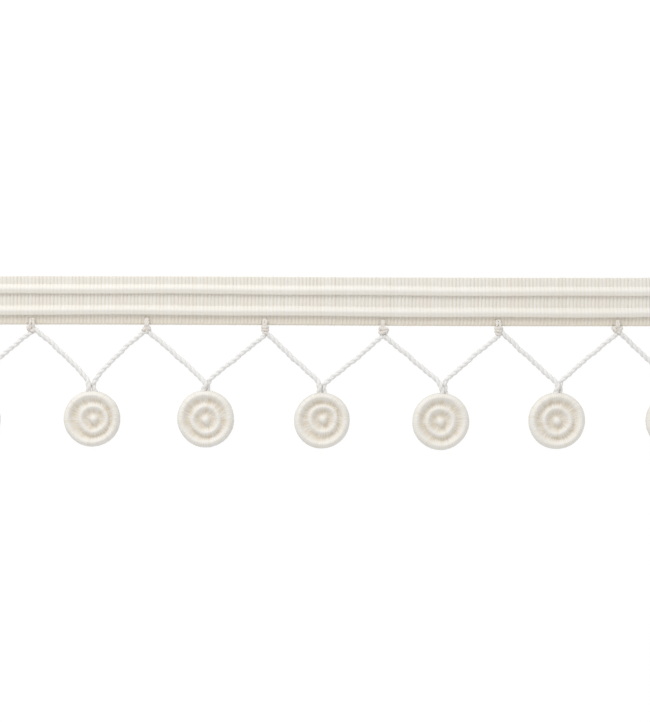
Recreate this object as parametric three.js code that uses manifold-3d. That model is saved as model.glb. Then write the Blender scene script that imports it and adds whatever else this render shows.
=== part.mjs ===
// A length of rosette fringe trim: a ribbed braid heading with two raised cords laid along it, a zig-zag
// of two-ply cord knotted to its lower edge, and a thread-wound rosette hanging from each point of it.
// It lies flat, face up, in millimetres: X runs along the trim, Y points up its face, Z out of its face.

import * as THREE from "three";
import { mergeVertices } from "three/addons/utils/BufferGeometryUtils.js";
import Module from "manifold-3d";

const wasm = await Module();
wasm.setup();

// Driving sizes.
const repeat = 60;
const rosetteCount = 7;
const ribsPerRepeat = 32;
const ribCount = 230;
const clearance = 0.3;

const heading = { width: 24.6, ground: 1.2, ribDepth: 0.4, ribsPerBackStep: 10 };
const headingCord = { width: 5, height: 2.2, shoulder: 0.55, sides: 6, stepLength: 14 };
const headingCordSway = { reach: 0.12, length: 97 };
const headingCords = [
  { name: "heading_cord_upper", belowTop: 6.8, phase: 0 },
  { name: "heading_cord_lower", belowTop: 17.8, phase: 2 },
];
const bow = { rise: 0.46, start: -151, halfWave: 285 };

const ply = { width: 2.3, thickness: 1.24, turnLength: 6.6, stepsPerTurn: 5 };
const legHeight = { knot: 2.2, middle: 1.5, nearOver: 2.4, over: 3.95, under: 1.5, overEnd: 3.2 };
const rootLoop = { width: 3, thickness: 1.4, above: 2.3, arch: 0.15, steps: 5 };
const knotBody = { below: 3.1, depth: 3.7, middle: 2.2, ballInset: 0.25, wrapRadius: 0.6 };

const rosette = { hang: 48.8, radius: 14.4, segments: 26 };
const legEnd = { near: 6.4, reach: 0.8, roomHeight: 20 };

// One row a knot, from the left: its place along the trim off the even spacing, its width and height, and
// the tilt of its wrap in degrees.
const knots = [
  { shift: 0, width: 4.8, height: 4.3, tilt: 12 },
  { shift: 0, width: 4.6, height: 4.0, tilt: 35 },
  { shift: -1.75, width: 4.8, height: 4.2, tilt: -15 },
  { shift: -0.7, width: 4.2, height: 4.6, tilt: 4 },
  { shift: -0.4, width: 5.5, height: 4.6, tilt: -25 },
  { shift: -1.1, width: 4.4, height: 4.6, tilt: 8 },
  { shift: 0, width: 5.3, height: 4.2, tilt: -38 },
  { shift: 0, width: 4.8, height: 4.2, tilt: 18 },
];

// One row a leg of the zig-zag: the knot that it hangs from, the side on which it leaves (1 is right), how
// far out on that side and how far below the heading it starts, and how far it bows upwards.
const legs = [
  { knot: 0, side: 1, inset: 0.9, start: 3.5, bow: 0.6 },
  { knot: 1, side: -1, inset: 0.3, start: 4.2, bow: 0.8 },
  { knot: 1, side: 1, inset: 1.0, start: 2.3, bow: 0.8 },
  { knot: 2, side: -1, inset: 0.5, start: 3.7, bow: 1.0 },
  { knot: 2, side: 1, inset: 0.9, start: 3.5, bow: 0.4 },
  { knot: 3, side: -1, inset: -0.4, start: 5.1, bow: 0 },
  { knot: 3, side: 1, inset: 0.9, start: 4.2, bow: -0.2 },
  { knot: 4, side: -1, inset: -0.4, start: 5.1, bow: -0.4 },
  { knot: 4, side: 1, inset: 0.5, start: 5.3, bow: 0.2 },
  { knot: 5, side: -1, inset: -0.4, start: 5.1, bow: 0.4 },
  { knot: 5, side: 1, inset: 1.0, start: 2.8, bow: 0 },
  { knot: 6, side: -1, inset: 0.3, start: 4.3, bow: 0.4 },
  { knot: 6, side: 1, inset: 0.9, start: 3.5, bow: 0.4 },
  { knot: 7, side: -1, inset: 0.4, start: 3.8, bow: 0.7 },
];

// One row a rosette, from the left: its place along the trim off the even spacing, how much lower than
// usual it hangs, what its radius has over the usual one, and how far its rings lie off its middle.
const rosettes = [
  { shift: -0.6, lower: 0, larger: 0, ringX: 0.2, ringY: 0.1 },
  { shift: 0.8, lower: -0.3, larger: 0, ringX: 1.0, ringY: -0.2 },
  { shift: -1.0, lower: -0.4, larger: 0.2, ringX: 0.2, ringY: -0.5 },
  { shift: -1.46, lower: 0.2, larger: -0.1, ringX: 0.6, ringY: 0.6 },
  { shift: -0.6, lower: 0.4, larger: 0.2, ringX: -0.2, ringY: -0.1 },
  { shift: -1.2, lower: -0.1, larger: 0.1, ringX: 0, ringY: -0.2 },
  { shift: -1.2, lower: 0, larger: 0, ringX: 0.2, ringY: -0.1 },
];

// One row a rosette's neck, where its two legs come together above the rim: how far above it they do, how
// far off the rosette's middle, and half of what lies between the legs' middles. Then the last two at the
// rim, how far off the middle the left and the right leg are just above the neck, and which lies higher.
const necks = [
  { above: 3.0, x: 0.2, half: 0.8, footX: 0, footHalf: 1.3, left: -2.4, right: 2.6, over: "left" },
  { above: 2.5, x: -0.5, half: 1.15, footX: 0, footHalf: 1.65, left: -2.8, right: 2.1, over: "left" },
  { above: 3.2, x: 0.6, half: 0.6, footX: -0.4, footHalf: 1.4, left: -2.5, right: 2.9, over: "left" },
  { above: 3.4, x: -0.2, half: 1.15, footX: 0, footHalf: 1.4, left: -2.3, right: 3.4, over: "left" },
  { above: 2.9, x: 1.3, half: 0.95, footX: 1.8, footHalf: 0.9, left: -1.8, right: 2.8, over: "left" },
  { above: 3.2, x: 1.2, half: 0.75, footX: 0.4, footHalf: 1.4, left: -1.6, right: 3.0, over: "left" },
  { above: 3.0, x: 0, half: 0.9, footX: 0.1, footHalf: 1.3, left: -2.6, right: 2.4, over: "right" },
];

// The rosette's section from its flat back out over the rim, the middle ring and the centre dome: the
// distance from the axis as a share of the radius, and the height in millimetres.
const rosetteSection = [
  { out: 0, up: 0 },
  { out: 0.88, up: 0 },
  { out: 1, up: 2.4 },
  { out: 0.95, up: 4.6 },
  { out: 0.83, up: 5.8 },
  { out: 0.71, up: 4.8 },
  { out: 0.63, up: 3.4 },
  { out: 0.54, up: 4.8 },
  { out: 0.45, up: 5.4 },
  { out: 0.35, up: 4.8 },
  { out: 0.25, up: 3.5 },
  { out: 0.16, up: 4.9 },
  { out: 0, up: 5.5 },
];

const ribPitch = repeat / ribsPerRepeat;
const headingLength = ribCount * ribPitch;
const headingFace = heading.ground + heading.ribDepth;

// The slow curve in which the whole trim lies, as a shift in Y.
function lieOf(x) {
  return bow.rise * Math.cos((Math.PI * (x - bow.start)) / bow.halfWave);
}

function ivory(color, roughness) {
  return new THREE.MeshStandardMaterial({ color, roughness, metalness: 0 });
}

const braidFinish = ivory(0xe4ddce, 0.85);
const headingCordFinish = ivory(0xf1ede2, 0.6);
const twistedCordFinish = ivory(0xe2dccd, 0.75);
const rosetteFinish = ivory(0xebe4d4, 0.65);

function namedMesh(name, geometry, material) {
  const mesh = new THREE.Mesh(geometry, material);
  mesh.name = name;
  return mesh;
}

// Moves each point of a geometry to where the given function puts it.
function reshape(geometry, place) {
  const position = geometry.getAttribute("position");
  const point = new THREE.Vector3();
  for (let i = 0; i < position.count; i += 1) {
    point.fromBufferAttribute(position, i);
    place(point);
    position.setXYZ(i, point.x, point.y, point.z);
  }
  geometry.computeVertexNormals();
  return geometry;
}

function solidFrom(geometry) {
  const bare = geometry.clone();
  bare.deleteAttribute("normal");
  bare.deleteAttribute("uv");
  const merged = mergeVertices(bare, 1e-3);
  return new wasm.Manifold(
    new wasm.Mesh({
      numProp: 3,
      vertProperties: merged.getAttribute("position").array,
      triVerts: new Uint32Array(merged.getIndex().array),
    }),
  );
}

function geometryFrom(solid) {
  const mesh = solid.getMesh();
  const geometry = new THREE.BufferGeometry();
  geometry.setAttribute("position", new THREE.BufferAttribute(mesh.vertProperties, 3));
  geometry.setIndex(new THREE.BufferAttribute(mesh.triVerts, 1));
  geometry.computeVertexNormals();
  return geometry;
}

// The braid: a ridged outline, one ridge a rib, carried across the heading's width down from Y 0.
function headingGeometry() {
  const outline = new THREE.Shape();
  outline.moveTo(-headingLength / 2, heading.ground);
  for (let rib = 0; rib < ribCount; rib += 1) {
    const left = rib * ribPitch - headingLength / 2;
    outline.lineTo(left + ribPitch / 2, headingFace);
    outline.lineTo(left + ribPitch, heading.ground);
  }
  for (let rib = ribCount; rib >= 0; rib -= heading.ribsPerBackStep) {
    outline.lineTo(rib * ribPitch - headingLength / 2, 0);
  }
  outline.closePath();
  const options = { depth: heading.width, steps: 1, bevelEnabled: false };
  const geometry = new THREE.ExtrudeGeometry(outline, options);
  geometry.rotateX(Math.PI / 2);
  return reshape(geometry, (point) => {
    point.y += lieOf(point.x);
  });
}

// A raised cord: a low arch on a flat underside, carried along the whole heading with a slight sway.
function headingCordGeometry(phase) {
  const arch = new THREE.Shape();
  arch.moveTo(-headingCord.width / 2, 0);
  for (let side = 0; side <= headingCord.sides; side += 1) {
    const angle = Math.PI * (1 - side / headingCord.sides);
    const rise = (headingCord.height - headingCord.shoulder) * Math.sin(angle);
    arch.lineTo((headingCord.width / 2) * Math.cos(angle), headingCord.shoulder + rise);
  }
  arch.lineTo(headingCord.width / 2, 0);
  arch.closePath();
  const steps = Math.round(headingLength / headingCord.stepLength);
  const geometry = new THREE.ExtrudeGeometry(arch, { depth: headingLength, steps, bevelEnabled: false });
  return reshape(geometry, (point) => {
    const along = point.z - headingLength / 2;
    const sway = headingCordSway.reach * Math.sin((2 * Math.PI * along) / headingCordSway.length + phase);
    point.set(along, point.x + sway + lieOf(along), point.y);
  });
}

// The two plies of a cord lying side by side.
function pairOfPlies(width, thickness) {
  const tip = width / 2;
  const crown = thickness / 2;
  const section = new THREE.Shape();
  section.moveTo(tip, 0);
  section.lineTo(tip / 2, crown);
  section.lineTo(-tip / 2, crown);
  section.lineTo(-tip, 0);
  section.lineTo(-tip / 2, -crown);
  section.lineTo(tip / 2, -crown);
  section.closePath();
  return section;
}

// A strand along a curve: a straight prism of its section, turned steadily about its middle and bent onto
// the curve.
function strandGeometry(curve, section, steps, turns) {
  const frames = curve.computeFrenetFrames(steps, false);
  const geometry = new THREE.ExtrudeGeometry(section, { depth: steps, steps, bevelEnabled: false });
  const middle = new THREE.Vector3();
  return reshape(geometry, (point) => {
    const step = Math.round(point.z);
    const angle = (2 * Math.PI * turns * step) / steps;
    const across = point.x * Math.cos(angle) - point.y * Math.sin(angle);
    const up = point.x * Math.sin(angle) + point.y * Math.cos(angle);
    curve.getPointAt(step / steps, middle);
    point.copy(middle);
    point.addScaledVector(frames.normals[step], across);
    point.addScaledVector(frames.binormals[step], up);
  });
}

// Where a knot's middle lies, and the heading's lower edge above it.
function knotPlace(index) {
  const x = (index - (knots.length - 1) / 2) * repeat + knots[index].shift;
  const edge = lieOf(x) - heading.width;
  return { x, y: edge - knotBody.below, edge };
}

function rosettePlace(index) {
  const row = rosettes[index];
  const x = (index - (rosetteCount - 1) / 2) * repeat + row.shift;
  const y = lieOf(x) - heading.width - rosette.hang - row.lower;
  return { x, y, radius: rosette.radius + row.larger };
}

// The rosette that a leg reaches.
function rosetteOf(leg) {
  return leg.side > 0 ? leg.knot : leg.knot - 1;
}

// A leg of the zig-zag, from inside its knot in a shallow bow to just above the neck, through the neck beside
// or over the other leg, and down past its rosette's rim.
function legGeometry(leg) {
  const knot = knotPlace(leg.knot);
  const neck = necks[rosetteOf(leg)];
  const place = rosettePlace(rosetteOf(leg));
  const rim = place.y + place.radius;
  const isOver = neck.over === (leg.side > 0 ? "left" : "right");
  const start = new THREE.Vector3(knot.x + leg.side * leg.inset, knot.edge - leg.start, 0);
  const nearX = place.x + (leg.side > 0 ? neck.left : neck.right);
  const near = new THREE.Vector3(nearX, rim + legEnd.near, 0);
  const along = near.clone().sub(start);
  const upwards = new THREE.Vector3(-along.y * leg.side, along.x * leg.side, 0).normalize();
  const onLeg = (share, height) => {
    const point = start.clone().lerp(near, share);
    point.addScaledVector(upwards, 4 * leg.bow * share * (1 - share));
    point.z = height;
    return point;
  };
  const waistX = place.x + neck.x - leg.side * neck.half;
  const waist = new THREE.Vector3(waistX, rim + neck.above, isOver ? legHeight.over : legHeight.under);
  const endX = place.x + neck.footX - leg.side * neck.footHalf;
  const end = new THREE.Vector3(endX, rim - legEnd.reach, isOver ? legHeight.overEnd : legHeight.under);
  const curve = new THREE.CatmullRomCurve3([
    onLeg(0, legHeight.knot),
    onLeg(0.25, legHeight.middle),
    onLeg(0.5, legHeight.middle),
    onLeg(0.75, legHeight.middle),
    onLeg(1, isOver ? legHeight.nearOver : legHeight.middle),
    waist,
    end,
  ]);
  const turns = curve.getLength() / ply.turnLength;
  const steps = Math.round(turns * ply.stepsPerTurn);
  return strandGeometry(curve, pairOfPlies(ply.width, ply.thickness), steps, turns);
}

// The loop by which a knot hangs: it lies over the braid's lower band and bends over the edge into the
// knot.
function rootLoopGeometry(knotIndex) {
  const knot = knotPlace(knotIndex);
  const lying = headingFace + clearance + rootLoop.thickness / 2;
  const curve = new THREE.CatmullRomCurve3([
    new THREE.Vector3(knot.x, knot.edge + rootLoop.above, lying),
    new THREE.Vector3(knot.x, knot.edge + rootLoop.above / 2, lying + rootLoop.arch),
    new THREE.Vector3(knot.x, knot.edge, lying + rootLoop.arch),
    new THREE.Vector3(knot.x, knot.y, knotBody.middle),
  ]);
  return strandGeometry(curve, pairOfPlies(rootLoop.width, rootLoop.thickness), rootLoop.steps, 0);
}

// The knot's body: a small ball, with one turn of the cord wrapped around it.
function knotBodyGeometries(knotIndex) {
  const knot = knotPlace(knotIndex);
  const row = knots[knotIndex];
  const ball = new THREE.SphereGeometry(0.5, 8, 6);
  ball.scale(row.width - 2 * knotBody.ballInset, row.height, knotBody.depth);
  const wrapMiddle = row.width / 2 - knotBody.wrapRadius;
  const wrap = new THREE.TorusGeometry(wrapMiddle, knotBody.wrapRadius, 5, 10);
  wrap.rotateX(Math.PI / 2);
  wrap.scale(1, 1, knotBody.depth / row.width);
  wrap.rotateZ(THREE.MathUtils.degToRad(row.tilt));
  return [ball, wrap].map((geometry) => geometry.translate(knot.x, knot.y, knotBody.middle));
}

// The room that a rosette and its clearance take, from which the legs' ends are cut away.
function rosetteRoom(index) {
  const place = rosettePlace(index);
  const radius = place.radius + clearance;
  const room = new THREE.CylinderGeometry(radius, radius, legEnd.roomHeight, rosette.segments);
  room.rotateX(Math.PI / 2);
  room.translate(place.x, place.y, 0);
  return solidFrom(room);
}

// One cord: its root loop, its knot, and its legs down to the rosettes beside it, as one solid.
function cordGeometry(knotIndex) {
  let cord = solidFrom(rootLoopGeometry(knotIndex));
  for (const geometry of knotBodyGeometries(knotIndex)) {
    cord = cord.add(solidFrom(geometry));
  }
  for (const leg of legs.filter(({ knot }) => knot === knotIndex)) {
    cord = cord.add(solidFrom(legGeometry(leg)));
    cord = cord.subtract(rosetteRoom(rosetteOf(leg)));
  }
  return geometryFrom(cord);
}

// A rosette: its section turned about its axis, with the rings inside its rim a little off the middle.
function rosetteGeometry(index) {
  const row = rosettes[index];
  const radius = rosette.radius + row.larger;
  const profile = rosetteSection.map(({ out, up }) => new THREE.Vector2(out * radius, up));
  const geometry = new THREE.LatheGeometry(profile, rosette.segments);
  geometry.rotateX(Math.PI / 2);
  return reshape(geometry, (point) => {
    const inwards = point.z > 0 ? Math.max(0, 1 - Math.hypot(point.x, point.y) / radius) : 0;
    point.x += row.ringX * Math.min(1, 2 * inwards);
    point.y += row.ringY * Math.min(1, 2 * inwards);
  });
}

const trim = new THREE.Group();
trim.add(namedMesh("heading", headingGeometry(), braidFinish));

for (const { name, belowTop, phase } of headingCords) {
  const cord = namedMesh(name, headingCordGeometry(phase), headingCordFinish);
  cord.position.set(0, -belowTop, headingFace + clearance);
  trim.add(cord);
}

for (let index = 0; index < knots.length; index += 1) {
  trim.add(namedMesh(`fringe_cord_${index + 1}`, cordGeometry(index), twistedCordFinish));
}

for (let index = 0; index < rosetteCount; index += 1) {
  const place = rosettePlace(index);
  const piece = namedMesh(`rosette_${index + 1}`, rosetteGeometry(index), rosetteFinish);
  piece.position.set(place.x, place.y, 0);
  trim.add(piece);
}

// The part's origin is under the middle of its box, on the surface that it lies on.
const box = new THREE.Box3().setFromObject(trim, true);
const middle = box.getCenter(new THREE.Vector3());
trim.position.set(-middle.x, -middle.y, -box.min.z);

export default trim;
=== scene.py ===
# A length of rosette fringe trim lying face up: ribbed braid heading, two raised heading cords, knotted
# two-ply fringe cords and thread-wound rosettes. Shapes are worked out in millimetres and stored in metres.
import math
import bpy
import numpy as np
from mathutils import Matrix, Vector


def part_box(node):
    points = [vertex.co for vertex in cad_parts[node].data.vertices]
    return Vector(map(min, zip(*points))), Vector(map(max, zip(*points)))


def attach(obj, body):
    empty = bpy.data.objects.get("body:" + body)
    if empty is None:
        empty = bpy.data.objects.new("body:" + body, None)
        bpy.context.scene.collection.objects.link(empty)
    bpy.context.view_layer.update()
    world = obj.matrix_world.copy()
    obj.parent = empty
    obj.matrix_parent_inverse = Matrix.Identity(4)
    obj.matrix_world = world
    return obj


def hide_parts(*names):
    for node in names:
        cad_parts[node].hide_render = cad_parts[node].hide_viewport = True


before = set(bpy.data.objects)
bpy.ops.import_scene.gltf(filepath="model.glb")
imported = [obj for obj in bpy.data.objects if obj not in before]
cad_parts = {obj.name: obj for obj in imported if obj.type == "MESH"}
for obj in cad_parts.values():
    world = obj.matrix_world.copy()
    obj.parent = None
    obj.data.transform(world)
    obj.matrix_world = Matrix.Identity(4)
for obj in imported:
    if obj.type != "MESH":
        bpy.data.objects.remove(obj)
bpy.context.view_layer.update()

mm = 0.001

trim = {
    "repeat": 60.0,  # from knot to knot
    "ribPitch": 1.875,
    "ribs": 230,
    "width": 24.6,  # of the heading, from its top edge to its bottom edge
    "bowRise": 0.46,  # the slow curve in which the whole length lies
    "bowStart": -151.0,
    "bowHalfWave": 285.0,
}
length = trim["ribs"] * trim["ribPitch"]
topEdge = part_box("heading")[1][1] / mm - trim["bowRise"]  # the heading's top edge where the bow is nil


def lieOf(x):
    # The slow curve in which the trim lies, as a shift in Y: a long cosine wave along X.
    return trim["bowRise"] * np.cos(math.pi * (x - trim["bowStart"]) / trim["bowHalfWave"])


def between(value, start, end):
    # How far a value has come from start to end, from 0 to 1.
    return np.clip((value - start) / (end - start), 0, 1)


def waver(x, seed, reach, *waves):
    # A gentle unevenness: the mean of sines of the given wave lengths with seeded phases, times its reach.
    phases = np.random.default_rng(seed).uniform(0, 2 * math.pi, len(waves))
    total = sum(np.sin(2 * math.pi * x / wave + phase) for wave, phase in zip(waves, phases))
    return reach * total / len(waves)


# Surfaces

def surface(points, stepU, stepV, crease, flank=0.0):
    # A grid of points as quads, closed round its second way, with one flat face over each end. The map runs
    # along the grid's two ways in millimetres. From 0 to 1, the first stored value is the painted shade of
    # each point, deepest in furrows, gaps and creases, with some tone that differs at random; the second is
    # the painted shade down an outer side. The volume inside, the sum of a . (b x c + c x d) over the faces,
    # tells whether they point outwards.
    countU, countV = points.shape[:2]
    i, j = np.meshgrid(np.arange(countU - 1), np.arange(countV), indexing="ij")
    corners = [(i, j), (i + 1, j), (i + 1, j + 1), (i, j + 1)]
    quads = np.stack([a * countV + b % countV for a, b in corners], -1).reshape(-1, 4)
    maps = np.stack([np.stack([a * stepU, b * stepV], -1) for a, b in corners], -2).reshape(-1, 4, 2)
    ends = [np.arange(countV), (countU - 1) * countV + np.arange(countV)[::-1]]
    vertices = points.reshape(-1, 3)
    a, b, c, d = (vertices[quads[:, k]] for k in range(4))
    volume = np.einsum("ij,ij->i", a, np.cross(b, c) + np.cross(c, d)).sum()
    for end in ends:
        first = vertices[end[0]]
        volume += np.einsum("j,ij->i", first, np.cross(vertices[end[1:-1]], vertices[end[2:]])).sum()
    if volume < 0:
        quads = quads[:, ::-1]
        maps = maps[:, ::-1]
        ends = [end[::-1] for end in ends]
    made = {"vertices": vertices, "quads": quads, "maps": maps, "ends": ends}
    for key, value in (("crease", crease), ("flank", flank)):
        made[key] = np.broadcast_to(value, points.shape[:2]).ravel()
    return made


def meshPiece(name, surfaces, finish, node):
    # Joins surfaces into one mesh that stands for a node of the frame and rides with the trim.
    starts = np.cumsum([0] + [len(each["vertices"]) for each in surfaces])
    vertices = np.concatenate([each["vertices"] for each in surfaces]) * mm
    quads = np.concatenate([each["quads"] + start for each, start in zip(surfaces, starts)])
    maps = np.concatenate([each["maps"] for each in surfaces]).reshape(-1, 2)
    ends = [end + start for each, start in zip(surfaces, starts) for end in each["ends"]]
    corners = np.concatenate([quads.ravel()] + ends)
    endStarts = quads.size + np.cumsum([0] + [len(end) for end in ends])[:-1]
    faceStarts = np.concatenate([np.arange(0, quads.size, 4), endStarts]).astype(np.int32)
    mesh = bpy.data.meshes.new(name)
    mesh.vertices.add(len(vertices))
    mesh.vertices.foreach_set("co", vertices.astype(np.float32).ravel())
    mesh.loops.add(len(corners))
    mesh.loops.foreach_set("vertex_index", corners.astype(np.int32))
    mesh.polygons.add(len(faceStarts))
    mesh.polygons.foreach_set("loop_start", faceStarts)
    mesh.polygons.foreach_set("use_smooth", np.ones(len(faceStarts), dtype=bool))
    mesh.update(calc_edges=True)
    spots = np.zeros((len(corners), 2), dtype=np.float32)
    spots[: len(maps)] = maps
    mesh.uv_layers.new(name="thread").data.foreach_set("uv", spots.ravel())
    for key in ("crease", "flank"):
        values = np.concatenate([each[key] for each in surfaces]).astype(np.float32)
        mesh.attributes.new(key, "FLOAT", "POINT").data.foreach_set("value", values)
    mesh.materials.append(finish)
    piece = bpy.data.objects.new(name, mesh)
    bpy.context.scene.collection.objects.link(piece)
    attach(piece, "root")
    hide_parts(node)
    return piece


def pathThrough(points, spacing):
    # A smooth path through points: between two of them a cubic, in forty steps, whose slope at each is half
    # the way between its neighbours, then points along it at an even spacing.
    known = np.asarray(points, dtype=float)
    known = np.vstack([2 * known[0] - known[1], known, 2 * known[-1] - known[-2]])
    a, b, c, d = known[:-3, None], known[1:-2, None], known[2:-1, None], known[3:, None]
    t = np.linspace(0, 1, 40, endpoint=False)[None, :, None]
    fine = 0.5 * (2 * b + (c - a) * t + (2 * a - 5 * b + 4 * c - d) * t**2 + (3 * b - a - 3 * c + d) * t**3)
    return evenlySpaced(np.vstack([fine.reshape(-1, 3), known[-2]]), spacing)


def evenlySpaced(fine, spacing):
    # The same path with its points an even distance apart, read off its run of lengths.
    run = np.concatenate([[0], np.cumsum(np.linalg.norm(np.diff(fine, axis=0), axis=1))])
    even = np.linspace(0, run[-1], max(4, round(run[-1] / spacing) + 1))
    return np.stack([np.interp(even, run, fine[:, axis]) for axis in range(3)], -1)


def acrossPath(path, hint):
    # Two unit vectors square to a path at each point: one square to the hint too, and one nearest to it.
    along = np.gradient(path, axis=0)
    along /= np.linalg.norm(along, axis=1, keepdims=True)
    side = np.cross(along, np.asarray(hint, dtype=float))
    side /= np.linalg.norm(side, axis=1, keepdims=True)
    return side, np.cross(side, along)


# Finishes

class Socket:
    # A socket that can be used in arithmetic: each operator adds a Math node.
    def __init__(self, finish, socket):
        self.finish = finish
        self.socket = socket

    def math(self, operation, *values):
        return self.finish.node("ShaderNodeMath", {"operation": operation}, dict(enumerate(values)))

    def __add__(self, other):
        return self.math("ADD", self, other)

    def __radd__(self, other):
        return self.math("ADD", other, self)

    def __sub__(self, other):
        return self.math("SUBTRACT", self, other)

    def __mul__(self, other):
        return self.math("MULTIPLY", self, other)


class Finish:
    # One material. node() adds a node of any type, sets its settings first and then its sockets.
    def __init__(self, name, roughness, sheen, gloss=0.3):
        self.material = bpy.data.materials.new(name)
        self.material.use_nodes = True
        self.tree = self.material.node_tree
        self.shader = self.tree.nodes["Principled BSDF"]
        self.shader.inputs["Roughness"].default_value = roughness
        self.shader.inputs["Specular IOR Level"].default_value = gloss
        self.shader.inputs["Sheen Weight"].default_value = sheen
        self.shader.inputs["Sheen Roughness"].default_value = 0.45

    def node(self, kind, settings=None, sockets=None, output=0):
        made = self.tree.nodes.new(kind)
        for key, value in (settings or {}).items():
            setattr(made, key, value)
        for key, value in (sockets or {}).items():
            self.feed(made.inputs[key], value)
        return Socket(self, made.outputs[output])

    def feed(self, target, value):
        if isinstance(value, Socket):
            self.tree.links.new(value.socket, target)
        else:
            target.default_value = value

    def place(self):
        # Object coordinates in millimetres.
        where = self.node("ShaderNodeTexCoord", output="Object")
        return self.node("ShaderNodeVectorMath", {"operation": "SCALE"}, {0: where, "Scale": 1 / mm})

    def stored(self, name):
        # A value that the mesh keeps at each of its points.
        return self.node("ShaderNodeAttribute", {"attribute_name": name}, output="Fac")

    def noise(self, vector, scale, roughness=0.5):
        sockets = {"Vector": vector, "Scale": scale, "Detail": 3.0, "Roughness": roughness}
        return self.node("ShaderNodeTexNoise", None, sockets, "Fac")

    def stretched(self, vector, x, y):
        return self.node("ShaderNodeVectorMath", {"operation": "MULTIPLY"}, {0: vector, 1: (x, y, 1)})

    def blend(self, amount, low, high):
        # A colour between two others.
        return self.node("ShaderNodeMix", {"data_type": "RGBA"}, {"Factor": amount, 6: low, 7: high}, 2)

    def bump(self, height, distance):
        sockets = {"Height": height, "Distance": distance * mm}
        self.feed(self.shader.inputs["Normal"], self.node("ShaderNodeBump", None, sockets, "Normal"))

    def colour(self, value):
        self.feed(self.shader.inputs["Base Color"], value)


# Each thread's tones: where it is open, where it drifts warmer, and its painted shade, a darker, warmer
# tone in its furrows, with how much of that the furrows take; the scale of its fibres, and how they are
# stretched along and across its map; its relief in millimetres and the fibres' share in that. Warp ends
# have a pitch, a wander and a share in it.
looks = {
    "braid": {
        "pale": (0.825, 0.805, 0.76, 1), "warm": (0.79, 0.762, 0.697, 1), "shadeTone": (0.65, 0.56, 0.425, 1),
        "furrow": 0.5, "roughness": 0.85, "sheen": 0.25, "fibre": 1.4, "stretch": (0.5, 4.0),
        "relief": 0.06, "fibreShare": 0.8, "warp": (0.36, 2.0, 0.5),
    },
    "headingCord": {
        "pale": (0.79, 0.775, 0.74, 1), "warm": (0.77, 0.75, 0.7, 1), "shadeTone": (0.71, 0.61, 0.44, 1),
        "furrow": 0.55, "roughness": 0.6, "sheen": 0.2, "fibre": 1.6, "stretch": (0.25, 5.0),
        "relief": 0.05, "fibreShare": 1.0, "warp": (0.45, 3.0, 0.4),
    },
    "twistedCord": {
        "pale": (0.788, 0.79, 0.785, 1), "warm": (0.76, 0.758, 0.748, 1), "shadeTone": (0.6, 0.52, 0.425, 1),
        "furrow": 0.55, "roughness": 0.75, "sheen": 0.2, "fibre": 1.8, "stretch": (1.2, 4.5),
        "relief": 0.09, "fibreShare": 1.0,
    },
    "rosette": {
        "pale": (0.8, 0.782, 0.745, 1), "warm": (0.765, 0.738, 0.68, 1), "shadeTone": (0.65, 0.565, 0.44, 1),
        "furrow": 0.9, "roughness": 0.62, "sheen": 0.18, "fibre": 1.8, "stretch": (0.8, 4.0),
        "relief": 0.06, "fibreShare": 1.0,
    },
}
# Painted shade: the greyer tone down the rosettes' steep outer sides.
outerShade = (0.54, 0.527, 0.485, 1)  # of the thread down the rosettes' outer sides
driftScale = 0.045
warmShares = (0.7, 0.5, 0.1)  # what drifts and fibres give to the warmer tone, and what is taken off that
roughnessSwing = 0.2  # how far the fibres change the roughness


def threadFinish(name):
    # Ivory thread: slow drifts of tone over the piece, fine fibres along the thread's own map, painted shade
    # as a darker, warmer tone in the furrows and a darker, greyer one down outer sides. Warp ends lie
    # lengthwise: a sine of the way across the trim, pushed a little by the fibres.
    look = looks[name]
    finish = Finish(name + "Thread", look["roughness"], look["sheen"])
    place = finish.place()
    drift = finish.noise(place, driftScale)
    threadMap = finish.node("ShaderNodeUVMap", {"uv_map": "thread"}, output="UV")
    fibres = finish.noise(finish.stretched(threadMap, *look["stretch"]), look["fibre"], 0.6)
    ofDrift, ofFibres, less = warmShares
    tone = finish.blend((drift * ofDrift + fibres * ofFibres) - less, look["pale"], look["warm"])
    # Painted shade: furrows take the darker, warmer tone and outer sides the greyer one.
    tone = finish.blend(finish.stored("crease") * look["furrow"], tone, look["shadeTone"])
    finish.colour(finish.blend(finish.stored("flank"), tone, outerShade))
    finish.feed(finish.shader.inputs["Roughness"], look["roughness"] + (fibres - 0.5) * roughnessSwing)
    relief = fibres * look["fibreShare"]
    if "warp" in look:
        pitch, wander, share = look["warp"]
        across = finish.node("ShaderNodeSeparateXYZ", None, {0: place}, "Y")
        phase = across * (2 * math.pi / pitch) + fibres * wander
        relief = phase.math("SINE", phase) * share + relief
    finish.bump(relief, look["relief"])
    return finish.material


finishes = {name: threadFinish(name) for name in looks}
print("finishes made")

# Braid heading

braid = {
    "seed": 11,
    "samples": 6,  # grid steps across one rib
    "faceRows": 26,  # grid rows down its face, round each edge and over its back
    "edgeRows": 5,
    "backRows": 4,
    "ground": 1.15,  # height of the valleys between ribs
    "ribDepth": 0.34,
    "ribRound": 0.75,  # the power of the sine that a rib is across
    "unevenRibs": 0.16,
    "edge": 0.4,  # radius of the two woven edges
    "scallop": 0.14,  # how far a rib's end stands out of the edge
    "selvage": 0.2,  # how far the lower edge stands out beyond the ribs
    "jitter": 0.12,  # how far a rib strays along the braid
    "strayWay": 5.0,  # down the braid, for one radian of its stray
    "strayPhase": 70.0,
    "ribTone": 0.14,
    # Painted shade in the valleys between ribs, its strength drawn at random for each valley.
    "valleyShade": (0.5, 1.2),
    # Painted shade by bands: darker below each heading cord, most in the lowest band and at the lower edge.
    "bandEnds": (0.0, 9.3, 9.8, 12.0, 20.3, 20.8, 24.0, 24.5),  # where its tone changes, below its top edge
    "bandShades": (0.0, 0.0, 0.12, 0.12, 0.12, 0.8, 0.65, 0.95),
}
ribStep = trim["ribPitch"] / braid["samples"]


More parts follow.
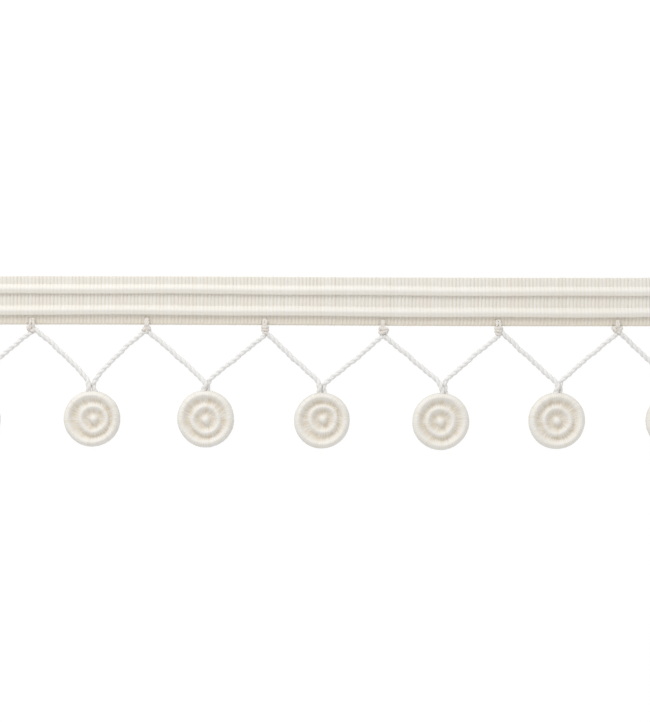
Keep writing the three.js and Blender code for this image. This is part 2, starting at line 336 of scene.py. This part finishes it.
def ribLayout():
    # Where the grid stands along the braid, and each rib there: a rounded ridge, a power of a sine, with its
    # own height; how far it strays along the braid; and its tone: painted shade in the valleys, of random
    # strength, plus a tone that differs at random from rib to rib.
    rng = np.random.default_rng(braid["seed"])
    x = np.linspace(-length / 2, length / 2, trim["ribs"] * braid["samples"] + 1)
    rib = (x + length / 2) / trim["ribPitch"]
    number = np.clip(rib.astype(int), 0, trim["ribs"] - 1)
    ridge = np.abs(np.sin(math.pi * rib)) ** braid["ribRound"]
    swell = 1 + braid["unevenRibs"] * rng.standard_normal(trim["ribs"])[number]
    strays = rng.uniform(-1, 1, trim["ribs"] + 1)
    stray = braid["jitter"] * np.interp(rib, np.arange(trim["ribs"] + 1), strays)
    valley = (1 - ridge) * rng.uniform(*braid["valleyShade"], trim["ribs"] + 1)[np.round(rib).astype(int)]
    tone = braid["ribTone"] * rng.uniform(-1, 1, trim["ribs"])[number]
    return x, ridge * swell, stray, valley + tone


ribX, ribRelief, ribStray, ribShadeAndTone = ribLayout()


def ribWander(down):
    # How far each rib strays along the braid at a distance below its top edge: a slow sine down the rib.
    return ribStray[:, None] * np.sin(down / braid["strayWay"] + braid["strayPhase"] * ribStray[:, None])


def braidSurface():
    # The braid as one closed band. Across it, the section runs down the face, round the lower edge, over the
    # back and round the upper edge, both edges half circles.
    half = trim["width"] / 2 - braid["edge"]
    face = np.linspace(half, -half, braid["faceRows"])
    bend = np.linspace(0, math.pi, braid["edgeRows"] + 2)[1:-1]
    back = np.linspace(-half, half, braid["backRows"])
    down, out = 0.5 * np.cos(bend), np.sin(bend)
    outward = np.concatenate([0 * face, -out, 0 * back, out])[None, :]
    level = np.concatenate([0 * face + 1, 0.5 + down, 0 * back, 0.5 - down])[None, :]
    across = np.concatenate([face, 0 * bend - half, back, 0 * bend + half])[None, :] + braid["edge"] * outward
    relief = ribRelief[:, None]
    below = trim["width"] / 2 - across
    points = np.empty((len(ribX), across.shape[1], 3))
    points[..., 0] = ribX[:, None] + ribWander(below)
    points[..., 1] = across + outward * (braid["selvage"] * (across < 0) + braid["scallop"] * relief)
    points[..., 1] += topEdge - trim["width"] / 2 + lieOf(ribX)[:, None]
    points[..., 2] = level * (braid["ground"] + braid["ribDepth"] * relief)
    # Painted shade: the ribs' valleys, and darker bands below the heading cords and along the lower edge.
    band = np.interp(below, braid["bandEnds"], braid["bandShades"])
    return surface(points, ribStep, 1.0, np.clip(ribShadeAndTone[:, None] * level + band, 0, 1))


braidPiece = meshPiece("braidHeading", [braidSurface()], finishes["braid"], "heading")
print("braid heading made")

# Heading cords

headingCord = {
    "step": 0.42,  # grid step round it
    "sway": 0.12,
    "swayLength": 97.0,
    "drift": 0.26,  # the longer and wider sway in which both lie
    "driftLength": 420.0,
    "fade": (-2.9, 0.3),  # over which way down the cord the braid's ribs fade out
    "faintRibs": 0.36,  # what is left of them on its crown
    "ribMiddle": 0.62,  # the level of a rib that neither lifts nor lowers its surface
    # Share of the braid ribs' painted valley shade and random tone that the cord carries.
    "ribTone": 0.7,
    "crown": (1.5, 4.0),  # the heights between which its unevenness comes in
    "swell": (0.125, 61.0, 37.0, 23.0, 11.0),  # its slow and quick unevenness: how much, and the wave lengths
    "ripple": (0.05, 7.3, 4.9),
    # Painted shade: a darker, warmer tone on its lower side, which turns from the light.
    "shade": 0.26,  # how much warmer its lower side is, and over which way down
    "shadeWay": (0.2, 1.2),
    "underside": (1.92, -1.92),
    # its section, as distances below its middle and heights: a gentle slope up from the ribs, a crown, and a
    # steep side down to the crease below it
    "section": [
        (-2.9, 1.3), (-2.4, 1.5), (-1.9, 2.0), (-1.35, 2.8), (-0.75, 3.45), (-0.1, 3.75), (0.55, 3.7),
        (1.1, 3.46), (1.65, 3.31), (2.08, 3.21), (2.38, 2.86), (2.45, 2.0), (2.4, 1.45), (2.25, 1.15),
    ],
}
headingCords = [
    {"name": "upper", "belowTop": 6.92, "phase": 0.0, "rise": 0.77, "seed": 20},
    {"name": "lower", "belowTop": 17.8, "phase": 2.0, "rise": 0.87, "seed": 25},
]


def headingCordSurface(row):
    # A raised cord along the heading: its section carried along the trim, with the braid's ribs fading out up
    # its slope and a closed flat underside. Its heights above the valleys are scaled by its rise.
    outline = [(down, height, 0) for down, height in headingCord["section"]]
    section = pathThrough(outline, headingCord["step"])
    down = section[None, :, 0]
    height = braid["ground"] + row["rise"] * (section[None, :, 1] - braid["ground"])
    fade = 1 - between(down, *headingCord["fade"])
    fade = headingCord["faintRibs"] + (1 - headingCord["faintRibs"]) * fade**2 * (3 - 2 * fade)
    sway = headingCord["sway"] * np.sin(2 * math.pi * ribX / headingCord["swayLength"] + row["phase"])
    sway -= headingCord["drift"] * np.sin(2 * math.pi * ribX / headingCord["driftLength"])
    uneven = waver(ribX, row["seed"], *headingCord["swell"])
    uneven += waver(ribX, row["seed"] + 2, *headingCord["ripple"])
    uneven = between(height, *headingCord["crown"]) * uneven[:, None]
    relief = braid["ribDepth"] * (ribRelief[:, None] - headingCord["ribMiddle"])
    under = np.linspace(*headingCord["underside"], 4)
    downAll = np.concatenate([down, under[None, :]], 1)
    points = np.empty((len(ribX), downAll.shape[1], 3))
    points[..., 0] = ribX[:, None] + ribWander(row["belowTop"] + downAll)
    points[..., 1] = (topEdge - row["belowTop"] + sway + lieOf(ribX))[:, None] - downAll
    points[..., 2] = braid["ground"]
    face = slice(0, down.shape[1])
    points[:, face, 2] = height + uneven + fade * relief
    # Painted shade on the cord's lower side and in the ribs' valleys, with the ribs' random tone.
    crease = np.zeros(points.shape[:2])
    crease[:, face] = headingCord["shade"] * between(down, *headingCord["shadeWay"])
    crease[:, face] += headingCord["ribTone"] * (fade + headingCord["faintRibs"]) * ribShadeAndTone[:, None]
    return surface(points, ribStep, headingCord["step"], np.clip(crease, 0, 1))


for row in headingCords:
    made = [headingCordSurface(row)]
    node = "heading_cord_" + row["name"]
    meshPiece("headingCord_" + row["name"], made, finishes["headingCord"], node)
print("heading cords made")

# Fringe cords

yarn = {
    "sides": 15,
    "strands": 5,  # fine yarns that show around one ply
    "strandDepth": 0.07,  # how deep the furrow between two of them is, as a share of the ply's radius
    "strandMiddle": 0.6,  # the level of their ripple that lies on the ply's radius
    "strandTurn": 2.4,  # millimetres in which they go once round their ply, against the plies' own turn
    # Painted shade down a ply's sides, where they turn from the light.
    "flank": 0.4,  # how much deeper the tone is down a ply's sides
}
cord = {
    "seed": 40,
    "width": {-1: 2.55, 1: 2.72},  # of the legs that leave their knots to the left and to the right
    "turnLength": 6.6,  # in which its two plies go once round each other
    "phaseStep": 0.9,  # radians by which their start turns from one knot to the next
    "plyOffset": 0.155,  # a ply's middle off the cord's own, and its radius, as shares of the width
    "plyRadius": 0.355,
    "spacing": 0.24,
    "middleHeight": 1.5,
    "nearNeck": 6.4,  # how far above the rim the legs start to close in
    "nearOver": 2.3,  # heights of the leg that passes over the other: there, in the neck and at its end
    "overHeight": 3.3,
    "overEnd": 3.0,
    "underEnd": 1.9,
    "tuck": 0.7,  # how far a leg's end lies inside the rim
    "waver": (0.22, 17.0, 9.5),  # how far a leg strays sideways, and the wave lengths
    "waverWays": (6.0, 12.0),  # over which ways that comes in from its start and its end
    # Painted shade in the neck, where the legs shade each other.
    "neckShade": 0.35,  # how much warmer the legs are in the neck, and where that comes in before their end
    "neckWay": (6.0, 4.0),
}
knot = {
    "below": 3.1,  # from the heading's lower edge down to its middle
    "height": 2.2,
    "spacing": 0.22,
    "loopTurn": 4.6,  # in which the plies go once round each other, in its root loop and about in its wraps
    "wrapTurn": 5.0,
    "loopPhase": 0.8,  # radians by which the plies' start turns from one knot to the next, in loop and wraps
    "wrapPhase": 1.3,
    "wrapSamples": 90,
    "wrapDepth": 0.9,  # half of a wrap's depth, at its middle line
    "wrapLift": 0.12,  # how far upwards a wrap climbs on its way round
    # Painted shade: a darker, warmer tone all through the knot.
    "shade": 0.8,  # how much warmer the cord is in it
}
# One row a knot, from the left: its place along the trim off the even spacing; its root loop, as the place of
# its middle, half of what lies between its two strands, and their width; and the turns of cord wrapped round
# it, each as its place sideways and upwards off the knot's middle, its half width, its tilt in degrees and
# the cord's width.
knots = [
    {"shift": 0.0, "loop": (0.0, 0.8, 1.7), "wraps": [(-0.3, 0.8, 1.1, 15, 2.3), (0.3, -0.8, 0.7, -10, 2.1)]},
    {"shift": 0.0, "loop": (0.1, 0.75, 1.6),
     "wraps": [(-1.5, 0.7, 0.85, -62, 2.3), (0.5, -0.35, 0.7, 24, 2.0)]},
    {"shift": -1.75, "loop": (0.6, 0.5, 1.9),
     "wraps": [(-0.6, 0.35, 0.75, 52, 2.2), (1.75, 0.5, 0.6, -64, 2.0), (0.6, -1.0, 0.55, 5, 2.0)]},
    {"shift": -0.7, "loop": (0.1, 0.65, 1.7),
     "wraps": [(0.05, 1.6, 1.15, 4, 2.1), (0.15, 0.2, 1.15, -5, 2.1), (0.6, -1.3, 0.6, 0, 2.1)]},
    {"shift": -0.4, "loop": (0.3, 0.4, 1.4),
     "wraps": [(0.6, 1.0, 1.8, -8, 2.3), (0.35, -0.7, 1.5, 10, 2.3), (2.1, -0.1, 0.7, 72, 1.8)]},
    {"shift": -1.1, "loop": (0.1, 0.75, 1.7),
     "wraps": [(0.1, 1.6, 1.4, 3, 2.1), (0.2, 0.1, 1.5, -3, 2.1), (0.15, -1.4, 0.95, -5, 2.0)]},
    {"shift": 0.0, "loop": (0.1, 0.5, 1.5),
     "wraps": [(-1.5, 0.9, 1.3, -46, 2.1), (1.35, 0.9, 1.1, 62, 2.0), (0.5, -0.75, 0.5, 0, 2.0)]},
    {"shift": 0.0, "loop": (0.0, 0.7, 1.7), "wraps": [(0.2, 0.7, 1.0, -18, 2.3), (0.0, -0.8, 0.7, 14, 2.1)]},
]
# One row a leg: its knot, its side (1 is right), how far out on that side and how far below the heading it
# starts, and how far it bows upwards.
legs = [
    {"knot": 0, "side": 1, "inset": 0.9, "start": 3.5, "bow": 0.6},
    {"knot": 1, "side": -1, "inset": 0.3, "start": 4.2, "bow": 0.8},
    {"knot": 1, "side": 1, "inset": 1.0, "start": 2.3, "bow": 0.8},
    {"knot": 2, "side": -1, "inset": 0.5, "start": 3.7, "bow": 1.0},
    {"knot": 2, "side": 1, "inset": 0.9, "start": 3.5, "bow": 0.4},
    {"knot": 3, "side": -1, "inset": -0.4, "start": 5.1, "bow": 0.0},
    {"knot": 3, "side": 1, "inset": 0.9, "start": 4.2, "bow": -0.2},
    {"knot": 4, "side": -1, "inset": -0.4, "start": 5.1, "bow": -0.4},
    {"knot": 4, "side": 1, "inset": 0.5, "start": 5.3, "bow": 0.2},
    {"knot": 5, "side": -1, "inset": -0.4, "start": 5.1, "bow": 0.4},
    {"knot": 5, "side": 1, "inset": 1.0, "start": 2.8, "bow": 0.0},
    {"knot": 6, "side": -1, "inset": 0.3, "start": 4.3, "bow": 0.4},
    {"knot": 6, "side": 1, "inset": 0.9, "start": 3.5, "bow": 0.4},
    {"knot": 7, "side": -1, "inset": 0.4, "start": 3.8, "bow": 0.7},
]
# One row a rosette's neck, from the left: how far above the rim its two legs come together; how far off the
# rosette's middle, and half of what lies between them, there and at the rim; how far off that middle the left
# and the right leg are just above the neck; and the upper leg.
necks = [
    {"above": 3.0, "waist": (0.2, 0.8), "foot": (0.0, 1.3), "near": (-2.4, 2.6), "over": "left"},
    {"above": 2.5, "waist": (-0.5, 1.15), "foot": (0.0, 1.65), "near": (-2.8, 2.1), "over": "left"},
    {"above": 3.2, "waist": (0.6, 0.6), "foot": (-0.4, 1.4), "near": (-2.5, 2.9), "over": "left"},
    {"above": 3.4, "waist": (-0.2, 1.15), "foot": (0.0, 1.4), "near": (-2.3, 3.4), "over": "left"},
    {"above": 2.9, "waist": (1.3, 0.95), "foot": (1.8, 0.9), "near": (-1.8, 2.8), "over": "left"},
    {"above": 3.2, "waist": (1.2, 0.75), "foot": (0.4, 1.4), "near": (-1.6, 3.0), "over": "left"},
    {"above": 3.0, "waist": (0.0, 0.9), "foot": (0.1, 1.3), "near": (-2.6, 2.4), "over": "right"},
]


def plyTube(centre, radius, hint, spacing, shade):
    # One ply: a round tube along its own winding path, its radius rippled by the yarns that spiral round it.
    # Its painted shade is deepest in the furrows between the yarns, more down its flanks, and at least its
    # given shade.
    shade = np.broadcast_to(shade, len(centre))[:, None]
    side, up = acrossPath(centre, hint)
    angle = np.linspace(0, 2 * math.pi, yarn["sides"], endpoint=False)
    run = np.arange(len(centre)) * spacing
    turned = angle[None, :] - 2 * math.pi * run[:, None] / (yarn["strandTurn"] * yarn["strands"])
    ripple = np.abs(np.cos(0.5 * yarn["strands"] * turned)) - yarn["strandMiddle"]
    reach = radius * (1 + yarn["strandDepth"] * ripple)
    outwards = np.cos(angle)[None, :, None] * side[:, None] + np.sin(angle)[None, :, None] * up[:, None]
    points = centre[:, None] + reach[..., None] * outwards
    flank = yarn["flank"] * (1 - np.clip(outwards[..., 2], 0, 1)) ** 2
    crease = np.clip(shade + flank - ripple * (1 - shade), 0, 1)
    return surface(points, spacing, 2 * math.pi * radius / yarn["sides"], crease)


def twistedCord(path, hint, width, turnLength, phase, spacing, shade):
    # Two plies laid round a path as a right-handed double helix: each ply's middle lies a share of the cord's
    # width off the path, and turns with the distance along it.
    side, up = acrossPath(path, hint)
    run = np.arange(len(path)) * spacing
    plies = []
    for start in (0, math.pi):
        angle = (2 * math.pi * run / turnLength + phase + start)[:, None]
        offset = cord["plyOffset"] * width * (np.cos(angle) * side - np.sin(angle) * up)
        plies.append(plyTube(path + offset, cord["plyRadius"] * width, hint, spacing, shade))
    return plies


def knotPlace(index):
    # A knot's place along the trim, and the heading's lower edge there.
    x = (index - (len(knots) - 1) / 2) * trim["repeat"] + knots[index]["shift"]
    return x, topEdge - trim["width"] + float(lieOf(x))


def rosettePlace(index):
    # A rosette's middle and its radius.
    low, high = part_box("rosette_%d" % (index + 1))
    return (low[0] + high[0]) / (2 * mm), (low[1] + high[1]) / (2 * mm), (high[0] - low[0]) / (2 * mm)


def legPath(leg):
    # A leg's middle line: from inside its knot in a shallow bow to just above the neck, through the neck
    # beside or over the other leg, and on into the rim.
    x, edge = knotPlace(leg["knot"])
    toRight = leg["side"] > 0
    index = leg["knot"] if toRight else leg["knot"] - 1
    neck = necks[index]
    rosetteX, rosetteY, radius = rosettePlace(index)
    rim = rosetteY + radius
    over = neck["over"] == ("left" if toRight else "right")
    start = np.array([x + leg["side"] * leg["inset"], edge - leg["start"]])
    near = np.array([rosetteX + neck["near"][0 if toRight else 1], rim + cord["nearNeck"]])
    along = near - start
    upwards = np.array([-along[1], along[0]]) * leg["side"] / np.linalg.norm(along)
    middle = cord["middleHeight"]
    heights = [knot["height"], middle, middle, middle, cord["nearOver"] if over else middle]
    points = [
        [*(start + along * share + upwards * 4 * leg["bow"] * share * (1 - share)), height]
        for share, height in zip(np.linspace(0, 1, 5), heights)
    ]
    waistX, footX = (rosetteX + off - leg["side"] * half for off, half in (neck["waist"], neck["foot"]))
    points.append([waistX, rim + neck["above"], cord["overHeight"] if over else middle])
    points.append([footX, rim - cord["tuck"], cord["overEnd"] if over else cord["underEnd"]])
    path = pathThrough(points, cord["spacing"])
    run = np.arange(len(path)) * cord["spacing"]
    ofStart, ofEnd = cord["waverWays"]
    fade = between(run, 0, ofStart) * between(run[-1] - run, 0, ofEnd)
    stray = waver(run, cord["seed"] + 2 * leg["knot"] + leg["side"], *cord["waver"])
    path[:, :2] += upwards * (fade * stray)[:, None]
    return path


def legSurfaces(leg):
    # A leg's two plies, with painted shade, a darker and warmer tone, coming in towards the rim, where the
    # legs shade each other in the neck.
    path = legPath(leg)
    spacing, turnLength, width = cord["spacing"], cord["turnLength"], cord["width"][leg["side"]]
    shade = cord["neckShade"] * between(np.arange(len(path))[::-1] * spacing, *cord["neckWay"])
    phase = cord["phaseStep"] * leg["knot"] + leg["side"]
    return twistedCord(path, (0, 0, 1), width, turnLength, phase, spacing, shade)


def wrapPath(wrap):
    # One turn of cord round a knot: an ellipse that starts and ends behind it, turned by its tilt about Z.
    across, upwards, half, tilt = wrap[:4]
    angle = np.linspace(-math.pi / 2, 1.5 * math.pi, knot["wrapSamples"])
    x, y = half * np.cos(angle), knot["wrapLift"] * np.sin(angle / 2)
    cosine, sine = math.cos(math.radians(tilt)), math.sin(math.radians(tilt))
    path = np.stack([x * cosine - y * sine, x * sine + y * cosine, knot["wrapDepth"] * np.sin(angle)], -1)
    return evenlySpaced(path, knot["spacing"]) + np.array([across, upwards, 0])


def loopPath(loop):
    # The root loop: up through the knot, over the braid's edge and down into the braid's face, and back
    # beside itself. One arm of it: how far sideways, as a share of its half width, how far up and how high.
    centre, half = loop[:2]
    edge = knot["below"]
    arm = [(0.7, -1.7, 0.0), (0.8, 0.2, 0.3), (1.0, edge - 0.9, 0.7), (1.0, edge + 1.0, 0.55),
           (0.8, edge + 2.3, -0.5)]
    points = [(centre - half * share, y, z) for share, y, z in arm]
    points += [(centre + half * share, y, z) for share, y, z in arm[::-1]]
    return pathThrough(points, knot["spacing"])


def knotSurfaces(index):
    # A knot's root loop and its wraps, each wrap with a whole number of half turns so that its plies meet.
    x, edge = knotPlace(index)
    middle = np.array([x, edge - knot["below"], knot["height"]])
    spacing, shade = knot["spacing"], knot["shade"]
    loop = knots[index]["loop"]
    path = loopPath(loop) + middle
    phase = knot["loopPhase"] * index
    made = twistedCord(path, (0, 0, 1), loop[2], knot["loopTurn"], phase, spacing, shade)
    for number, wrap in enumerate(knots[index]["wraps"]):
        path = wrapPath(wrap) + middle
        halfTurns = max(2, round(2 * len(path) * spacing / knot["wrapTurn"]))
        turnLength = 2 * (len(path) - 1) * spacing / halfTurns
        phase = knot["wrapPhase"] * index + number
        made += twistedCord(path, (0, 1, 0), wrap[4], turnLength, phase, spacing, shade)
    return made


for index in range(len(knots)):
    made = knotSurfaces(index)
    for leg in legs:
        if leg["knot"] == index:
            made += legSurfaces(leg)
    node = "fringe_cord_%d" % (index + 1)
    meshPiece("knottedCord_%d" % (index + 1), made, finishes["twistedCord"], node)
print("fringe cords made")

# Rosettes

rosette = {
    "seed": 100,  # of the first one
    "samples": 420,  # grid steps round it, six for each of the rim's wraps
    "roundStep": 0.2,  # one of them on the thread's map
    "profileStep": 0.55,
    # the section, as shares of the radius and heights: dome, furrow, ring, furrow, rim, and round to the back
    "section": [
        (0.004, 5.78), (0.03, 5.74), (0.07, 5.5), (0.108, 5.05), (0.138, 4.4), (0.165, 3.8), (0.2, 3.48),
        (0.245, 3.42), (0.285, 3.5), (0.345, 4.0), (0.4, 4.85), (0.455, 5.3), (0.515, 4.9), (0.57, 3.95),
        (0.62, 3.5), (0.68, 3.62), (0.73, 4.2), (0.775, 5.0), (0.82, 5.52), (0.86, 5.65), (0.92, 5.2),
        (0.98, 4.0), (1.006, 2.6), (0.998, 1.3), (0.94, 0.35), (0.82, 0.06), (0.5, 0.06), (0.01, 0.06),
    ],
    "zones": [(0.0, 18), (0.265, 38), (0.635, 70)],  # where each winding starts, and its number of wraps
    "outside": 1.2,  # where the last one ends
    "wrapDepth": 0.24,
    "wrapRound": 0.8,  # the power of the sine that a wrap is across
    "wrapMiddle": 0.6,  # the level of its ripple that lies on the section
    "unevenWraps": (0.3, 1.3),
    "slant": 0.45,  # wraps by which the thread leans over each winding
    "gather": (0.09, 0.23),  # over which way out from its middle the wraps come in
    "faceCrest": (3.2, 4.8),  # the heights between which the wraps come up to their full depth, on its face
    "backCrest": (0.1, 1.6),  # and round its edge
    "furrowDepth": 0.35,  # of the wraps in the furrows, as a share of that
    "rimWaves": ((2, 0.006), (5, 0.003)),  # how it departs from a circle: swings in one round, and how far
    "ringWaves": ((3, 0.02), (4, 0.012)),  # and how the ring inside does as well
    "inner": (0.72, 0.52),  # over which way inwards the ring's own place and waves come in
    "sag": 0.1,  # how far the rim and the ring rise and sink round it, and over which way outwards
    "sagWay": (0.2, 0.6),
    "least": 0.02,  # height of its underside
    # Painted shade in the furrows inside the rim and in the gaps between wraps.
    "furrowHeights": (4.9, 3.4),  # the furrows' tone comes in between these heights, inside the rim
    "rimStart": 0.78,
    "furrowShade": 0.66,
    "gapShade": (0.75, 0.2),  # of the gaps between wraps, and how much deeper in the furrows
    "gapLevel": 0.45,
    "blotch": 0.055,  # how uneven its tone is, in how many swings round it, and how far they lean, in radians
    "blotchSwings": (5, 9, 14, 23),
    "blotchLean": 7,
    # Painted shade down its steep outer side, in the greyer tone.
    "outerShare": 0.8,  # of the greyer tone on its steep outer side, and where that starts
    "outerStart": 0.85,
}
# How far each rosette's inner rings lie off its middle.
ringOffsets = [(0.2, 0.1), (1.0, -0.2), (0.2, -0.5), (0.6, 0.6), (-0.2, -0.1), (0.0, -0.2), (0.2, -0.1)]


def wrapBeads(share, front, theta, rng):
    # The wraps' ripple over the grid: in each winding a power of a sine round the rosette, leaning with the
    # way outwards, each wrap with its own height. The last winding goes on round the edge.
    bead = np.zeros((len(share), rosette["samples"]))
    ends = [start for start, wraps in rosette["zones"]][1:] + [rosette["outside"]]
    for (start, wraps), end in zip(rosette["zones"], ends):
        here = (share >= start) & (share < end) | (~front & (end == rosette["outside"]))
        turn = wraps * theta / (2 * math.pi) + rosette["slant"] * (share - start) / (end - start)
        uneven = rng.uniform(*rosette["unevenWraps"], wraps)[np.floor(turn).astype(int) % wraps]
        bead = np.where(here, np.abs(np.sin(math.pi * turn)) ** rosette["wrapRound"] * uneven, bead)
    return bead


def roundWaves(theta, waves, phases):
    # Slow waves round a rosette: sines with whole numbers of swings in one round.
    return sum(reach * np.sin(count * theta + phase) for (count, reach), phase in zip(waves, phases))


def rosetteSurface(index):
    # A thread-wound rosette: its section turned round Z, pushed out square to itself by the wraps' ripple,
    # which is flattest in the furrows and nil on the dome's tip, and made a little uneven by slow waves.
    ringX, ringY = ringOffsets[index]
    x, y, radius = rosettePlace(index)
    rng = np.random.default_rng(rosette["seed"] + index)
    outline = [(share * radius, 0, height) for share, height in rosette["section"]]
    section = pathThrough(outline, rosette["profileStep"])
    slope = np.gradient(section, axis=0)
    slope /= np.linalg.norm(slope, axis=1, keepdims=True)
    out, height, slopeX, slopeZ = section[:, :1], section[:, 2:], slope[:, :1], slope[:, 2:]
    share = out / radius
    front = np.arange(len(out))[:, None] <= int(np.argmax(out))
    theta = np.linspace(0, 2 * math.pi, rosette["samples"], endpoint=False)[None, :]

    bead = wrapBeads(share, front, theta, rng)
    crest = np.where(front, between(height, *rosette["faceCrest"]), between(height, *rosette["backCrest"]))
    gathered = between(share, *rosette["gather"])
    depth = rosette["wrapDepth"] * (rosette["furrowDepth"] + (1 - rosette["furrowDepth"]) * crest) * gathered
    ripple = depth * (bead - rosette["wrapMiddle"])
    phases = rng.uniform(0, 2 * math.pi, 5)
    inner = between(share, *rosette["inner"]) * front
    wobble = 1 + roundWaves(theta, rosette["rimWaves"], phases)
    wobble = wobble + inner * roundWaves(theta, rosette["ringWaves"], phases[2:])
    reach = out * wobble + slopeZ * ripple
    sag = rosette["sag"] * crest * between(share, *rosette["sagWay"]) * np.sin(2 * theta + phases[4])
    points = np.stack([
        x + reach * np.cos(theta) + inner * ringX,
        y + reach * np.sin(theta) + inner * ringY,
        np.maximum(height + slopeX * ripple + sag, rosette["least"]),
    ], -1)

    # Painted shade in the furrows, in the gaps between wraps and down the steep outer side; the blotches are
    # tone that differs at random.
    furrow = between(height, *rosette["furrowHeights"]) * front * (share < rosette["rimStart"])
    gapShade, deeper = rosette["gapShade"]
    gap = (np.clip(1 - bead, 0, 1) - rosette["gapLevel"]) * gathered
    swings, lean = rosette["blotchSwings"], rosette["blotchLean"] * share
    blotches = sum(np.sin(count * theta + lean + phase) for count, phase in zip(swings, phases))
    crease = rosette["furrowShade"] * furrow + (gapShade + deeper * furrow) * gap + rosette["blotch"] * blotches
    steep = (1 - np.clip(np.where(front, np.abs(slopeX), -slopeX), 0, 1)) ** 2
    flank = rosette["outerShare"] * steep * (share > rosette["outerStart"])
    return surface(points, rosette["profileStep"], rosette["roundStep"], np.clip(crease, 0, 1), flank)


for index in range(len(ringOffsets)):
    name, node = "woundRosette_%d" % (index + 1), "rosette_%d" % (index + 1)
    meshPiece(name, [rosetteSurface(index)], finishes["rosette"], node)
print("rosettes made")

# Floor, lights and camera

studio = {
    "floorSize": 60.0,
    "floorTone": 0.12,
    "floorGlow": 0.9,
    "keyPower": 4.85,
    "keyPlace": (-0.36, 0.845, 0.58),
    "keySize": 0.45,
    "fill": 0.868,
    "lens": 100.0,
    "sensor": 36.0,
    "sight": 90.0,  # as far as the camera sees
    "viewHeight": 0.3706,  # of the photograph, at the trim
    "aim": (0.00013, 0.00096, 0.0),
}


def makeFloor():
    half = studio["floorSize"] / 2
    mesh = bpy.data.meshes.new("floor")
    corners = [(-half, -half, 0), (half, -half, 0), (half, half, 0), (-half, half, 0)]
    mesh.from_pydata(corners, [], [(0, 1, 2, 3)])
    floor = bpy.data.objects.new("floor", mesh)
    bpy.context.scene.collection.objects.link(floor)
    finish = Finish("floorPaper", 0.9, 0.0, 0.0)
    finish.colour((*[studio["floorTone"]] * 3, 1))
    finish.shader.inputs["Emission Color"].default_value = (1, 1, 1, 1)
    finish.shader.inputs["Emission Strength"].default_value = studio["floorGlow"]
    mesh.materials.append(finish.material)


def makeLights():
    key = bpy.data.lights.new("keyLight", "AREA")
    key.shape = "SQUARE"
    key.size = studio["keySize"]
    key.energy = studio["keyPower"]
    lamp = bpy.data.objects.new("keyLight", key)
    lamp.location = studio["keyPlace"]
    lamp.rotation_euler = Vector([-value for value in studio["keyPlace"]]).to_track_quat("-Z", "Y").to_euler()
    bpy.context.scene.collection.objects.link(lamp)
    world = bpy.data.worlds.new("studio")
    world.use_nodes = True
    world.node_tree.nodes["Background"].inputs["Color"].default_value = (1, 1, 1, 1)
    world.node_tree.nodes["Background"].inputs["Strength"].default_value = studio["fill"]
    bpy.context.scene.world = world


def makeCamera():
    lens = bpy.data.cameras.new("camera")
    lens.lens = studio["lens"]
    lens.sensor_width = studio["sensor"]
    lens.clip_end = studio["sight"]
    camera = bpy.data.objects.new("camera", lens)
    x, y, z = studio["aim"]
    camera.location = (x, y, z + studio["viewHeight"] * studio["lens"] / studio["sensor"])
    bpy.context.scene.collection.objects.link(camera)
    bpy.context.scene.camera = camera


makeFloor()
makeLights()
makeCamera()
bpy.context.scene.view_settings.view_transform = "Standard"
print("floor, lights and camera made")

bpy.context.view_layer.update()
